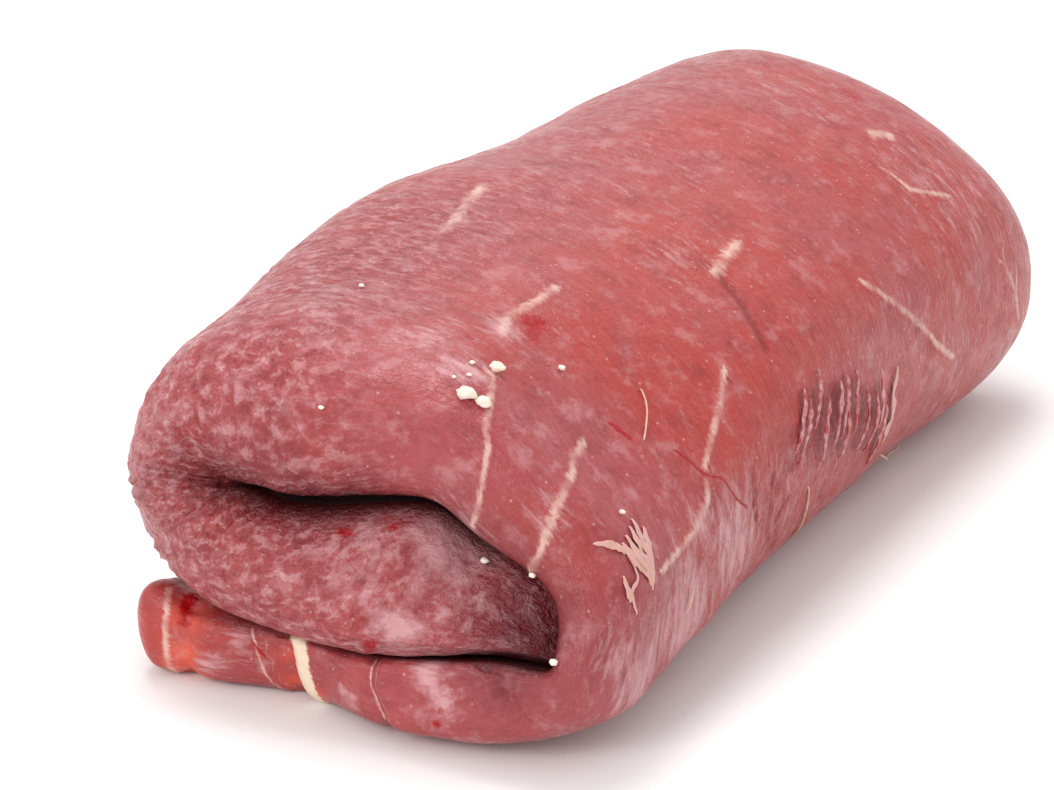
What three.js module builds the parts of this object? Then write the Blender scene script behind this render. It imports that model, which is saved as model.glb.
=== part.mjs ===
// A raw flank steak, trimmed and rolled once into a thick parcel.
//
// It is one sheet of meat. Followed along its width, the sheet starts as a tongue inside the
// roll, turns up round the left fold, runs over the top, turns down round the right fold and
// ends as a flap that lies flat underneath. The grain of the meat follows that same way round.
// Millimetres, +Z up, +Y from the near end to the far end, underside at Z = 0.
import * as THREE from "three";
import { mergeVertices } from "three/addons/utils/BufferGeometryUtils.js";

// The plain roll, in cross-section (X across, Z up).
const LEFT = -44;
const RIGHT = 62;
const TOP = 71;
const FOLD_HEIGHT = 41; // height of the outermost line of the two folds
const FLAP_THICKNESS = 13.5;
const TONGUE_THICKNESS = 26;
const SLIT = 1; // the meat touches itself, but for this much
const LEFT_FOLD_X = -18; // where the sheet turns inside the left fold
const RIGHT_FOLD_X = 33;
const LEFT_CREASE = 12; // how far the crease inside the left fold tapers
const TONGUE_TIP = 17; // how far the tongue reaches past the right fold's centre
const FLAP_END_X = -28;
const FLAP_ROUND = 6;

// How square the round stretches are: 2 is an ellipse, more is boxier.
const ARCH_POWER = 2.3;
const LEFT_FOLD_POWER = 2.15;
const RIGHT_FOLD_POWER = 2.5;
const RIM_POWER = 2.2;

// The sheet's own stations, and its two cut edges at each of them.
const [TIP, TONGUE, LEFT_FOLD, OVER, RIGHT_FOLD, FLAP, FLAP_END, LAST] = [-1, 0, 1, 2, 3, 4, 5, 6];
const EDGES = {
  near: [-77, -86, -95, -89, -85, -86, -94, -90], // where the near edge lies along Y
  far: [121, 124, 130, 135, 133, 118, 117, 112],
  nearOuterRound: [7, 7, 13, 26, 22, 10, 7, 8], // how far the near edge is rounded, outside
  nearInnerRound: [7, 12, 15, 14, 5, 4, 9, 8],
  farRound: [18, 18, 18, 17, 26, 18, 14, 8],
  nearEdgeHeight: [0.74, 0.74, 0.45, 0.35, 0.2, 0.55, 0.55, 0.5], // 0 inner face, 1 outer
};
const FAR_EDGE_HEIGHT = 0.5;

// The upper layer sinks towards the right: near the front more than at the back.
const FRONT_DROP = { depth: 14, from: 18, to: 60, yNone: 20, yFull: -80 };
const WHOLE_DROP = { depth: 5, from: -15, to: 50 };
const DROP_FULL_HEIGHT = 34;

// Swells and dents of the soft meat. Each moves what is near "at" by "by"; "reach" is how wide it is.
const ALL_ALONG = Infinity;
const SWELLS = {
  thickRightFlap: { at: [48, 0, 17], by: [0, 0, 8], reach: [32, ALL_ALONG, 12] },
  lowCreaseAtLeft: { at: [-24, -75, 41], by: [3, 0, -5], reach: [28, 40, 14] },
  fullTongue: { at: [24, -88, 46], by: [5, 6, 10], reach: [20, 26, 14] },
  leftShoulder: { at: [-34, -2, 60], by: [-5, 1, 7], reach: [30, 48, 28] },
  farCrown: { at: [-2, 88, 62], by: [-1, 0, 6], reach: [42, 50, 28] },
  rightSide: { at: [64, 20, 14], by: [4, 0, -4], reach: [26, ALL_ALONG, 22] },
  nearRightToe: { at: [50, -86, 10], by: [0, -5, 0], reach: [26, 22, 16] },
  farRightHeel: { at: [63, 114, 28], by: [3, 0, -4], reach: [28, 40, 28] },
  flapFront: { at: [24, -93, 8], by: [0, -5, -4], reach: [18, 20, 12] },
  flapWaist: { at: [0, -96, 4], by: [0, 4, 0], reach: [12, 12, 10] },
  lip: { at: [50, -85, 34], by: [5, 4, 5], reach: [16, 24, 15] },
  leftCheek: { at: [-32, -90, 25], by: [2, 2, 2], reach: [18, 24, 12] },
  flapPressedUp: { at: [14, -92, 10], by: [0, 0, 5], reach: [56, 10, 7] },
  tonguePressedDown: { at: [18, -88, 23], by: [0, -2, -5], reach: [40, 10, 8] },
  creasePressedShut: { at: [-8, -88, 50], by: [0, 0, -4], reach: [24, 12, 8] },
  cornerPressedUp: { at: [50, -90, 15], by: [0, 0, 7], reach: [26, 14, 9] },
  flapEndRaised: { at: [-32, -90, 13], by: [-1, 0, 4.5], reach: [10, 14, 7] },
  creaseEndRaised: { at: [-18, -88, 36], by: [0, 0, 4.5], reach: [14, 16, 9] },
  dimpleByTheCrease: { at: [-22, -90, 44], by: [0, 5, 0], reach: [10, 12, 6] },
};
const FLAT_UNDERSIDE = 10; // below this height a swell fades out, so the underside stays flat

// Facets: steps round the sheet in each stretch, and steps round its cross-section.
const STRETCH_STEPS = [
  [TIP, TONGUE, 5],
  [TONGUE, LEFT_FOLD, 8],
  [LEFT_FOLD, OVER, 14],
  [OVER, RIGHT_FOLD, 8],
  [RIGHT_FOLD, FLAP, 14],
  [FLAP, FLAP_END, 10],
  [FLAP_END, LAST, 4],
];
const RIM_STEPS = 12;
const LONG_STEPS = 20;

const HALF_TURN = Math.PI;
const QUARTER = Math.PI / 2;
const mix = THREE.MathUtils.lerp;

function smoothStep(from, to, value) {
  const t = THREE.MathUtils.clamp((value - from) / (to - from), 0, 1);
  return t * t * (3 - 2 * t);
}

// A value between stations, by a Catmull-Rom curve through the values at the stations.
function alongSheet(values, s) {
  const place = THREE.MathUtils.clamp(s - TIP, 0, values.length - 1 - 1e-9);
  const i = Math.floor(place);
  const f = place - i;
  const value = (k) => values[THREE.MathUtils.clamp(k, 0, values.length - 1)];
  const [a, b, c, d] = [value(i - 1), value(i), value(i + 1), value(i + 2)];
  const squared = (2 * a - 5 * b + 4 * c - d) * f ** 2;
  const cubed = (3 * b - 3 * c + d - a) * f ** 3;
  return b + 0.5 * ((c - a) * f + squared + cubed);
}

// The point at an angle of a superellipse with both half axes 1.
function superArc(angle, power) {
  const c = Math.cos(angle);
  const s = Math.sin(angle);
  const size = (Math.abs(c) ** power + Math.abs(s) ** power) ** (-1 / power);
  return [c * size, s * size];
}

// The outside of the roll: one arch from its leftmost line (angle 0) over the top to the right.
const ARCH_X = (LEFT + RIGHT) / 2;
const ARCH_HALF = (RIGHT - LEFT) / 2;
const ARCH_RISE = TOP - FOLD_HEIGHT;
const SLIT_Z = FLAP_THICKNESS + TONGUE_THICKNESS;

function archPoint(angle) {
  const [c, s] = superArc(angle, ARCH_POWER);
  return [ARCH_X - ARCH_HALF * c, FOLD_HEIGHT + ARCH_RISE * s];
}

function archAngle(x) {
  const c = (ARCH_X - x) / ARCH_HALF;
  return Math.atan2((1 - Math.abs(c) ** ARCH_POWER) ** (1 / ARCH_POWER), c);
}

const OVER_ANGLE = archAngle(LEFT_FOLD_X);
const RIGHT_ANGLE = archAngle(RIGHT_FOLD_X);

// Each stretch of the sheet gives its outer and inner face in the cross-section at t from 0 to 1.
function tipStretch(t) {
  const angle = (1 - t) * QUARTER;
  const x = RIGHT_FOLD_X + TONGUE_TIP * Math.sin(angle);
  const middle = FLAP_THICKNESS + TONGUE_THICKNESS / 2;
  const half = ((TONGUE_THICKNESS - SLIT) / 2) * Math.cos(angle);
  return [[x, middle - half], [x, middle + half]];
}

function tongueStretch(t) {
  return [
    [mix(RIGHT_FOLD_X, LEFT_FOLD_X, t), FLAP_THICKNESS + SLIT / 2],
    [mix(RIGHT_FOLD_X, LEFT_FOLD_X + LEFT_CREASE, t), SLIT_Z - SLIT / 2],
  ];
}

function leftFoldStretch(t) {
  const turn = -QUARTER + HALF_TURN * t;
  const crease = LEFT_FOLD_X + LEFT_CREASE * (1 - Math.cos(turn));
  const inner = [crease, SLIT_Z + (SLIT / 2) * Math.sin(turn)];
  if (t > 0.5) {
    return [archPoint((2 * t - 1) * OVER_ANGLE), inner];
  }
  const [c, s] = superArc(QUARTER - t * HALF_TURN, LEFT_FOLD_POWER);
  const depth = FOLD_HEIGHT - FLAP_THICKNESS - SLIT / 2;
  return [[LEFT_FOLD_X - (LEFT_FOLD_X - LEFT) * c, FOLD_HEIGHT - depth * s], inner];
}

function overStretch(t) {
  const inner = [mix(LEFT_FOLD_X + LEFT_CREASE, RIGHT_FOLD_X, t), SLIT_Z + SLIT / 2];
  return [archPoint(mix(OVER_ANGLE, RIGHT_ANGLE, t)), inner];
}

function rightFoldStretch(t) {
  const turn = QUARTER - HALF_TURN * t;
  const inner = [
    RIGHT_FOLD_X + (TONGUE_TIP + SLIT) * Math.cos(turn),
    FLAP_THICKNESS + TONGUE_THICKNESS / 2 + ((TONGUE_THICKNESS + SLIT) / 2) * Math.sin(turn),
  ];
  if (t < 0.5) {
    return [archPoint(mix(RIGHT_ANGLE, HALF_TURN, 2 * t)), inner];
  }
  const [c, s] = superArc((t - 0.5) * HALF_TURN, RIGHT_FOLD_POWER);
  return [[RIGHT_FOLD_X + (RIGHT - RIGHT_FOLD_X) * c, FOLD_HEIGHT - FOLD_HEIGHT * s], inner];
}

function flapStretch(t) {
  const x = mix(RIGHT_FOLD_X, FLAP_END_X, t);
  return [[x, 0], [x, FLAP_THICKNESS - SLIT / 2]];
}

function flapEndStretch(t) {
  const x = FLAP_END_X - FLAP_ROUND * Math.sin(t * QUARTER);
  const half = (FLAP_THICKNESS - SLIT / 2) / 2;
  return [[x, half - half * Math.cos(t * QUARTER)], [x, half + half * Math.cos(t * QUARTER)]];
}

const STRETCHES = [
  tipStretch,
  tongueStretch,
  leftFoldStretch,
  overStretch,
  rightFoldStretch,
  flapStretch,
  flapEndStretch,
];

function faces(s) {
  const i = Math.min(Math.floor(s - TIP), STRETCHES.length - 1);
  return STRETCHES[i](s - TIP - i);
}

// The steps round the sheet's cross-section at any station: near rim from the inner to the outer
// face, outer face to the far end, far rim, and the inner face back. "side" runs from -1 (inner
// face) to 1 (outer face), "round" from 0 at the rim's line to 1 where the face is flat.
function ringSteps() {
  const ring = [];
  const rimStep = (angle, far) => ({
    far,
    outer: angle > 0,
    side: Math.sign(angle) * Math.abs(Math.sin(angle)) ** (2 / RIM_POWER),
    round: 1 - Math.abs(Math.cos(angle)) ** (2 / RIM_POWER),
  });
  for (let i = 0; i < RIM_STEPS; i += 1) {
    ring.push(rimStep(-QUARTER + (HALF_TURN * i) / RIM_STEPS, false));
  }
  for (let i = 0; i < LONG_STEPS; i += 1) {
    ring.push({ side: 1, along: i / LONG_STEPS, outer: true });
  }
  for (let i = 0; i < RIM_STEPS; i += 1) {
    ring.push(rimStep(QUARTER - (HALF_TURN * i) / RIM_STEPS, true));
  }
  for (let i = 0; i < LONG_STEPS; i += 1) {
    ring.push({ side: -1, along: 1 - i / LONG_STEPS, outer: false });
  }
  return ring;
}

// Where a ring step lies along Y, and how far up from the inner to the outer face.
function ringPlace(s, step) {
  const near = alongSheet(EDGES.near, s);
  const far = alongSheet(EDGES.far, s);
  const nearRound = alongSheet(step.outer ? EDGES.nearOuterRound : EDGES.nearInnerRound, s);
  const farRound = alongSheet(EDGES.farRound, s);
  if (step.along !== undefined) {
    return { y: mix(near + nearRound, far - farRound, step.along), height: step.side > 0 ? 1 : 0 };
  }
  const edge = step.far ? FAR_EDGE_HEIGHT : alongSheet(EDGES.nearEdgeHeight, s);
  const height = step.side >= 0 ? mix(edge, 1, step.side) : mix(edge, 0, -step.side);
  return { y: step.far ? far - farRound * step.round : near + nearRound * step.round, height };
}

function sink(p) {
  const depth = smoothStep(0, DROP_FULL_HEIGHT, p.z);
  const atFront = smoothStep(FRONT_DROP.yNone, FRONT_DROP.yFull, p.y);
  p.z -= FRONT_DROP.depth * smoothStep(FRONT_DROP.from, FRONT_DROP.to, p.x) * atFront * depth;
  p.z -= WHOLE_DROP.depth * smoothStep(WHOLE_DROP.from, WHOLE_DROP.to, p.x) * depth;
}

function swell(p, { at, by, reach }) {
  const away = p.clone().sub(new THREE.Vector3(...at)).divide(new THREE.Vector3(...reach));
  const share = Math.exp(-away.lengthSq());
  const up = smoothStep(0, FLAT_UNDERSIDE, p.z);
  p.x += by[0] * share;
  p.y += by[1] * share;
  p.z += by[2] * share * up;
}

function surfacePoint(s, step) {
  const [outer, inner] = faces(s);
  const { y, height } = ringPlace(s, step);
  const p = new THREE.Vector3(mix(inner[0], outer[0], height), y, mix(inner[1], outer[1], height));
  sink(p);
  Object.values(SWELLS).forEach((bump) => swell(p, bump));
  return p;
}

function stations() {
  const list = [TIP];
  STRETCH_STEPS.forEach(([from, to, steps]) => {
    for (let i = 1; i <= steps; i += 1) {
      list.push(mix(from, to, i / steps));
    }
  });
  return list;
}

// The whole sheet as one closed skin. At the tongue's tip and at the flap's end the two faces
// meet in a line, so merging the points that coincide there closes it.
function rolledSheet() {
  const rows = stations();
  const ring = ringSteps();
  const points = rows.flatMap((s) => ring.map((step) => surfacePoint(s, step)));
  const triangles = [];
  for (let i = 0; i < rows.length - 1; i += 1) {
    for (let j = 0; j < ring.length; j += 1) {
      const next = (j + 1) % ring.length;
      const [a, b] = [i * ring.length + j, i * ring.length + next];
      const [c, d] = [a + ring.length, b + ring.length];
      triangles.push(a, c, b, b, c, d);
    }
  }
  const skin = new THREE.BufferGeometry().setFromPoints(points);
  skin.setIndex(triangles);
  return mergeVertices(skin);
}

// The origin is the middle of the underside of the steak's box.
function standOnOrigin(geometry) {
  geometry.computeBoundingBox();
  const { min, max } = geometry.boundingBox;
  return geometry.translate(-(min.x + max.x) / 2, -(min.y + max.y) / 2, -min.z);
}

const rawBeef = new THREE.MeshStandardMaterial({
  name: "raw beef",
  color: 0xb9625e,
  roughness: 0.42,
  metalness: 0,
});

const steak = new THREE.Mesh(standOnOrigin(rolledSheet()), rawBeef);
steak.geometry.computeVertexNormals();
steak.name = "flank_steak";

const flankSteak = new THREE.Group();
flankSteak.name = "rolled_flank_steak";
flankSteak.add(steak);

export default flankSteak;
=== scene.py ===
"""A raw flank steak, trimmed and rolled once into a thick parcel.

The steak is one sheet of meat. A place on it is a pair (station, ring): the station runs along
the sheet, from the tongue inside the roll, round the left fold, over the top and round the right
fold to the flap underneath; the ring runs round the sheet's own cross-section, over the near
rim (0 to 1), along the outer face (1 to 2), over the far rim (2 to 3) and back along the inner
face (3 to 4). Lengths are in millimetres up to the point where a mesh is made.
"""

import math
from functools import partial

import bpy
import numpy as np
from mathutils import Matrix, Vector


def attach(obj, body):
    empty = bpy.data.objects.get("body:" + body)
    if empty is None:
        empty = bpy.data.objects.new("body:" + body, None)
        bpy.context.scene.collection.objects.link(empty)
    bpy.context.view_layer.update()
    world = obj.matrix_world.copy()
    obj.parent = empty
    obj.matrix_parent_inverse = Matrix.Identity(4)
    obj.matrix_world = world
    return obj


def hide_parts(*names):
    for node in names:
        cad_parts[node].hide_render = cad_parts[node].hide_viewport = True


bl_info = {
    "name": "Rolled flank steak",
    "version": (1, 0, 0),
    "blender": (4, 5, 0),
    "location": "3D View > Sidebar > Flank steak",
    "description": "Makes a raw rolled flank steak with its fat, fibres and torn membrane",
    "category": "Mesh",
}

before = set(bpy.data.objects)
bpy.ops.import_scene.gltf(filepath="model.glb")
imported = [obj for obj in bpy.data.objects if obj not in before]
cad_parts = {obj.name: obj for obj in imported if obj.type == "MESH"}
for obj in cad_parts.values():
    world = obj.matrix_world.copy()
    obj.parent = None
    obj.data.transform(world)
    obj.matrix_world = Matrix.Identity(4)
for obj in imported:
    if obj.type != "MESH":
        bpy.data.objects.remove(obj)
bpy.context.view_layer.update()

MM = 0.001
QUARTER = math.pi / 2

# The plain roll in cross-section: X across, Z up, Y along the roll.
LEFT = -44.0
RIGHT = 62.0
TOP = 71.0
FOLD_HEIGHT = 41.0  # height of the outermost line of the two folds
FLAP_THICKNESS = 13.5
TONGUE_THICKNESS = 26.0
SLIT = 1.0
LEFT_FOLD_X = -18.0
RIGHT_FOLD_X = 33.0
LEFT_CREASE = 12.0
TONGUE_TIP = 17.0
FLAP_END_X = -28.0
FLAP_ROUND = 6.0
ARCH_POWER = 2.3
LEFT_FOLD_POWER = 2.15
RIGHT_FOLD_POWER = 2.5
RIM_POWER = 2.2

# The stations run from -1, the tongue's tip, over 0, the tongue, 1, the left fold, 2, the top,
# 3, the right fold, 4, the flap, and 5, its end, to 6, its last edge. The sheet's two cut edges
# have a value at each of them.
TIP = -1
LAST = 6
EDGES = {
    "near": (-77, -86, -95, -89, -85, -86, -94, -90),
    "far": (121, 124, 130, 135, 133, 118, 117, 112),
    "near_outer_round": (7, 7, 13, 26, 22, 10, 7, 8),
    "near_inner_round": (7, 12, 15, 14, 5, 4, 9, 8),
    "far_round": (18, 18, 18, 17, 26, 18, 14, 8),
    "near_edge_height": (0.74, 0.74, 0.45, 0.35, 0.2, 0.55, 0.55, 0.5),
}
FAR_EDGE_HEIGHT = 0.5

# The upper layer sinks towards the right, near the front more than at the back.
FRONT_DROP = {"depth": 14.0, "start": 18.0, "end": 60.0, "y_none": 20.0, "y_full": -80.0}
WHOLE_DROP = {"depth": 5.0, "start": -15.0, "end": 50.0}
DROP_FULL_HEIGHT = 34.0

# Swells of the soft meat: where, by how much, and how wide.
ALL_ALONG = math.inf
SWELLS = {
    "thick right flap": ((48, 0, 17), (0, 0, 8), (32, ALL_ALONG, 12)),
    "low crease at left": ((-24, -75, 41), (3, 0, -5), (28, 40, 14)),
    "full tongue": ((24, -88, 46), (5, 6, 10), (20, 26, 14)),
    "left shoulder": ((-34, -2, 60), (-5, 1, 7), (30, 48, 28)),
    "far crown": ((-2, 88, 62), (-1, 0, 6), (42, 50, 28)),
    "right side": ((64, 20, 14), (4, 0, -4), (26, ALL_ALONG, 22)),
    "near right toe": ((50, -86, 10), (0, -5, 0), (26, 22, 16)),
    "far right heel": ((63, 114, 28), (3, 0, -4), (28, 40, 28)),
    "flap front": ((24, -93, 8), (0, -5, -4), (18, 20, 12)),
    "flap waist": ((0, -96, 4), (0, 4, 0), (12, 12, 10)),
    "lip": ((50, -85, 34), (5, 4, 5), (16, 24, 15)),
    "left cheek": ((-32, -90, 25), (2, 2, 2), (18, 24, 12)),
    "flap pressed up": ((14, -92, 10), (0, 0, 5), (56, 10, 7)),
    "tongue pressed down": ((18, -88, 23), (0, -2, -5), (40, 10, 8)),
    "crease pressed shut": ((-8, -88, 50), (0, 0, -4), (24, 12, 8)),
    "corner pressed up": ((50, -90, 15), (0, 0, 7), (26, 14, 9)),
    "flap end raised": ((-32, -90, 13), (-1, 0, 4.5), (10, 14, 7)),
    "crease end raised": ((-18, -88, 36), (0, 0, 4.5), (14, 16, 9)),
    "dimple by the crease": ((-22, -90, 44), (0, 5, 0), (10, 12, 6)),
}
FLAT_UNDERSIDE = 10.0

# Grid lines of the skin: steps in each stretch of the sheet, and round the ring.
STRETCH_STEPS = (22, 52, 112, 64, 110, 60, 11)
RIM_STEPS = 44
OUTER_STEPS = 152
FAR_RIM_STEPS = 18
INNER_STEPS = 14
OUTER_GRADING = 1.25  # more than 1 puts finer steps near the front
END_THICKNESS = 0.03  # the sheet's two ends stop this much of a station short
END_ROWS = 20  # rows at either end that are left out where lengths round the ring are measured

# Thin lines of fat on the skin: half width in mm, and the places (station, ring) they pass.
FAT_LINES = {
    "long left": (0.5, ((2.905, 0.985), (2.930, 0.982), (2.988, 0.868), (3.002, 0.677),
                        (2.970, 0.527), (2.945, 0.309))),
    "long right": (0.7, ((3.110, 1.031), (3.131, 0.941), (3.140, 0.805), (3.136, 0.600),
                         (3.143, 0.214))),
    "side": (0.6, ((3.193, 1.300), (3.245, 1.244), (3.293, 1.184), (3.350, 1.165),
                   (3.379, 1.133), (3.381, 1.029))),
    "hook": (0.8, ((2.824, 1.062), (2.782, 1.097), (2.770, 1.120), (2.785, 1.164),
                   (2.782, 1.206))),
    "middle": (1.1, ((3.031, 1.506), (3.038, 1.479), (3.045, 1.453), (3.055, 1.422))),
    "far side": (0.6, ((3.252, 1.634), (3.329, 1.677), (3.424, 1.731), (3.512, 1.779),
                       (3.576, 1.835))),
    "far edge": (0.5, ((3.405, 1.994), (3.571, 2.083))),
    "crown": (0.6, ((3.088, 1.870), (3.150, 1.875), (3.205, 1.940))),
    "far patch": (1.3, ((3.017, 1.927), (3.036, 1.955))),
    "shoulder": (1.0, ((2.245, 1.231), (2.218, 1.280), (2.152, 1.367))),
    "flap edge": (0.6, ((4.987, 0.138), (4.953, 0.350), (4.953, 0.608), (4.95, 0.85))),
    "flap left": (0.22, ((4.680, 0.196), (4.657, 0.425), (4.617, 0.675), (4.58, 0.85))),
    "flap right": (0.22, ((4.223, 0.150), (4.223, 0.354), (4.173, 0.450), (4.14, 0.65))),
}
# The band of thick fat across the flap: half width in mm and places.
FLAP_BAND = (2.1, ((4.53, 0.05), (4.507, 0.371), (4.503, 0.467), (4.487, 0.554),
                   (4.473, 0.662), (4.45, 0.95)))
# Spots of blood: radius in mm and place.
BLOOD_SPOTS = {
    "large": (2.6, (2.852, 1.126)),
    "beside large": (1.9, (2.882, 1.104)),
    "below large": (0.5, (2.888, 1.064)),
    "left": (0.9, (2.752, 1.022)),
    "lip": (0.8, (3.142, 0.700)),
    "side": (0.9, (3.305, 1.177)),
    "far patch": (3.2, (2.812, 1.996)),
    "tongue left": (1.2, (0.620, 0.182)),
    "tongue left small": (0.8, (0.415, 0.173)),
    "tongue low": (1.1, (0.280, 0.541)),
    "flap low": (0.5, (3.992, 0.408)),
    "flap lowest": (0.4, (3.990, 0.467)),
    "crown left": (0.6, (2.197, 1.126)),
    "crown left small": (0.5, (2.136, 0.995)),
    "crown middle": (0.7, (2.330, 1.286)),
    "crown far": (0.6, (2.352, 1.439)),
}
# Hairlines of blood: half width in mm and places.
BLOOD_LINES = {
    "right of the streak": (0.5, ((3.117, 1.095), (3.135, 1.10), (3.152, 1.105))),
    "side": (0.3, ((3.229, 1.155), (3.264, 1.166), (3.305, 1.176), (3.345, 1.203),
                   (3.421, 1.222), (3.483, 1.246))),
    "flap end": (1.3, ((4.925, 0.03), (4.913, 0.221), (4.897, 0.388))),
    "flap mark": (0.35, ((4.668, 0.400), (4.635, 0.465))),
}
# Fissures between fibres, sunk into the relief and darkened with painted shade: half width in mm
# and places.
FISSURES = {
    "over the top": (1.1, ((3.064, 1.425), (3.121, 1.410), (3.179, 1.394), (3.229, 1.381))),
    "side": (0.5, ((3.479, 1.322), (3.542, 1.314), (3.617, 1.315), (3.688, 1.341))),
    "low side": (0.5, ((3.592, 1.358), (3.619, 1.337), (3.723, 1.366))),
    "near side": (0.4, ((3.404, 1.266), (3.494, 1.266), (3.581, 1.282))),
    "left crease": (0.8, ((1.60, 0.12), (1.62, 0.30), (1.70, 0.45))),
    "below left crease": (0.6, ((1.50, 0.10), (1.50, 0.28), (1.55, 0.42))),
}
# Membranes that cross the flap and pinch it: half width in mm and places.
FLAP_PINCHES = {
    "beside the band": (1.5, ((4.575, 0.04), (4.56, 0.37), (4.55, 0.55), (4.53, 0.9))),
    "end": (1.9, ((4.89, 0.05), (4.89, 0.5), (4.90, 0.9))),
    "middle": (1.3, ((4.223, 0.10), (4.223, 0.354), (4.173, 0.450), (4.14, 0.8))),
    "right": (1.3, ((3.88, 0.05), (3.83, 0.314), (3.80, 0.6))),
}
# Patches of milky membrane, and of fat seen through the flap: place, reach in mm, strength.
VEIL_PATCHES = (
    ((0.15, 0.17), 9, 1.0), ((0.19, 0.46), 5, 1.0), ((0.45, 0.30), 9, 0.6),
    ((2.30, 1.05), 24, 0.25), ((2.62, 0.98), 9, 0.6), ((2.22, 1.00), 12, 0.5),
    ((1.60, 0.75), 16, 0.55), ((2.45, 1.55), 30, 0.2), ((2.55, 1.90), 28, 0.25),
    ((2.85, 0.93), 6, 0.8), ((2.80, 1.08), 6, 0.7), ((3.14, 0.70), 5, 0.6),
    ((3.40, 1.14), 7, 0.7), ((3.56, 1.10), 13, 0.95), ((3.55, 1.22), 12, 0.9),
    ((3.58, 0.99), 11, 0.85), ((3.53, 0.83), 8, 0.6), ((3.65, 1.85), 18, 0.45),
    ((3.80, 1.60), 28, 0.25), ((3.20, 1.95), 24, 0.4), ((2.97, 1.40), 9, 0.35),
    ((4.02, 0.28), 4, 1.0), ((3.97, 0.38), 3.5, 1.0), ((4.28, 0.45), 2, 0.9),
    ((4.33, 0.44), 1.5, 0.9), ((4.80, 0.55), 4, 0.8), ((4.70, 0.30), 6, 0.5),
)
ORANGE_PATCHES = (((4.90, 0.35), 3.5, 0.9), ((4.90, 0.55), 4.0, 1.0), ((4.905, 0.75), 5.0, 1.0),
                  ((4.56, 0.45), 2.0, 0.6), ((4.55, 0.65), 2.5, 0.8), ((4.44, 0.62), 2.0, 0.6))
# Patches of painted shade, a deep purple red, on the tongue and along the near rim, most by
# the left crease, where shade falls: place, reach in mm, strength.
PAINTED_SHADE_PATCHES = (
    ((0.09, 0.13), 10, 0.85), ((-0.28, 0.27), 11, 0.85), ((-0.42, 0.33), 12, 1.0),
    ((-0.42, 0.60), 10, 0.85), ((1.97, 0.35), 8, 0.6), ((2.15, 0.33), 8, 0.6),
    ((2.40, 0.28), 7, 0.5), ((1.78, 0.35), 7, 0.6), ((1.55, 0.25), 7, 0.5),
    ((3.40, 0.35), 6, 0.35),
)


def linear(hex_colour):
    """The sRGB colour of a hex string as linear red, green and blue, and an alpha of 1."""
    srgb = np.array([int(hex_colour[i:i + 2], 16) for i in (1, 3, 5)]) / 255
    low = srgb / 12.92
    high = ((srgb + 0.055) / 1.055) ** 2.4
    return (*np.where(srgb <= 0.04045, low, high).tolist(), 1.0)


def length_property(name, description, default):
    """A length that a user may change, in metres."""
    return bpy.props.FloatProperty(
        name=name, description=description, default=default, unit="LENGTH", min=0.0)


def colour_property(name, description, hex_colour):
    """A colour that a user may change."""
    return bpy.props.FloatVectorProperty(
        name=name, description=description, default=linear(hex_colour), subtype="COLOR",
        size=4, min=0.0, max=1.0)


class SteakSizes(bpy.types.PropertyGroup):
    """Sizes of the relief and of the loose pieces."""

    lump_height: length_property(
        "Lump height", "Height of the broad unevenness of the meat", 0.8 * MM)
    crinkle_height: length_property(
        "Crinkle height", "Height of the crinkled membrane on the fold and tongue", 0.7 * MM)
    wrinkle_height: length_property(
        "Wrinkle height", "Height of the wrinkles that run out of the left crease", 0.7 * MM)
    groove_depth: length_property(
        "Groove depth", "Depth of the fissures and of the hollow under the pulled fibres", 1.0 * MM)
    pinch_depth: length_property("Pinch depth", "How far membranes pull the flap in", 1.2 * MM)
    streak_height: length_property("Streak height", "How far lines of fat stand proud", 0.25 * MM)
    crumb_radius: length_property("Crumb radius", "Radius of the largest crumb of fat", 1.6 * MM)
    fibre_radius: length_property("Fibre radius", "Radius of a loose fibre", 0.18 * MM)


class MeatColours(bpy.types.PropertyGroup):
    """Colours of the meat, its fat and its membranes, and of the shade painted into its creases,
    gaps and hollows.
    """

    lean_warm: colour_property("Warm lean", "Lean meat where its own red shows", "#ab3933")
    lean_cool: colour_property(
        "Cool lean", "Lean meat under thin membrane, pinker and greyer", "#a54548")
    # Dark lean: the real darker tone of blotches and of lines between fibres, and also painted
    # shade in gaps, fissures and curd hollows.
    lean_dark_and_painted_shade: colour_property("Dark lean", "Lean meat deep between fibres", "#7a1b1f")
    veil: colour_property("Veil", "Thin milky membrane over the lean", "#d39ea1")
    # Painted shade: a deep purple red laid on the tongue and by the left crease where shade falls.
    painted_shade: colour_property("Dusky lean", "Deep purple red of meat in wet shade", "#60141d")
    orange: colour_property("Orange", "Bright lean at the pinched end of the flap", "#d9553c")
    fat: colour_property("Fat", "Thick fat", "#f0dcc0")
    fat_thin: colour_property("Thin fat", "Fat in thin lines, half seen through", "#dfb6a8")
    blood: colour_property("Blood", "Fresh blood in small pools", "#a0000c")
    # Painted shade: a dark wet red laid into the mouths of the slits and over their hidden faces,
    # where shade falls.
    crease: colour_property("Crease", "The shade of deep wet creases", "#440f13")
    crumb: colour_property("Crumb", "Loose crumbs of hard fat", "#f6ebe2")
    silverskin: colour_property("Silverskin", "Torn dry membrane", "#d3a28c")


def smooth_step(start, end, value):
    """0 below start, 1 above end, and a smooth S between them."""
    t = np.clip((value - start) / (end - start), 0.0, 1.0)
    return t * t * (3.0 - 2.0 * t)


def mix(a, b, t):
    """a at t = 0, b at t = 1."""
    return a + (b - a) * t


def window(start, end, soft, value):
    """1 between start and end, and a smooth fall to 0 over the soft length on either side."""
    rise = smooth_step(start - soft, start, value)
    return rise * (1 - smooth_step(end, end + soft, value))


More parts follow.
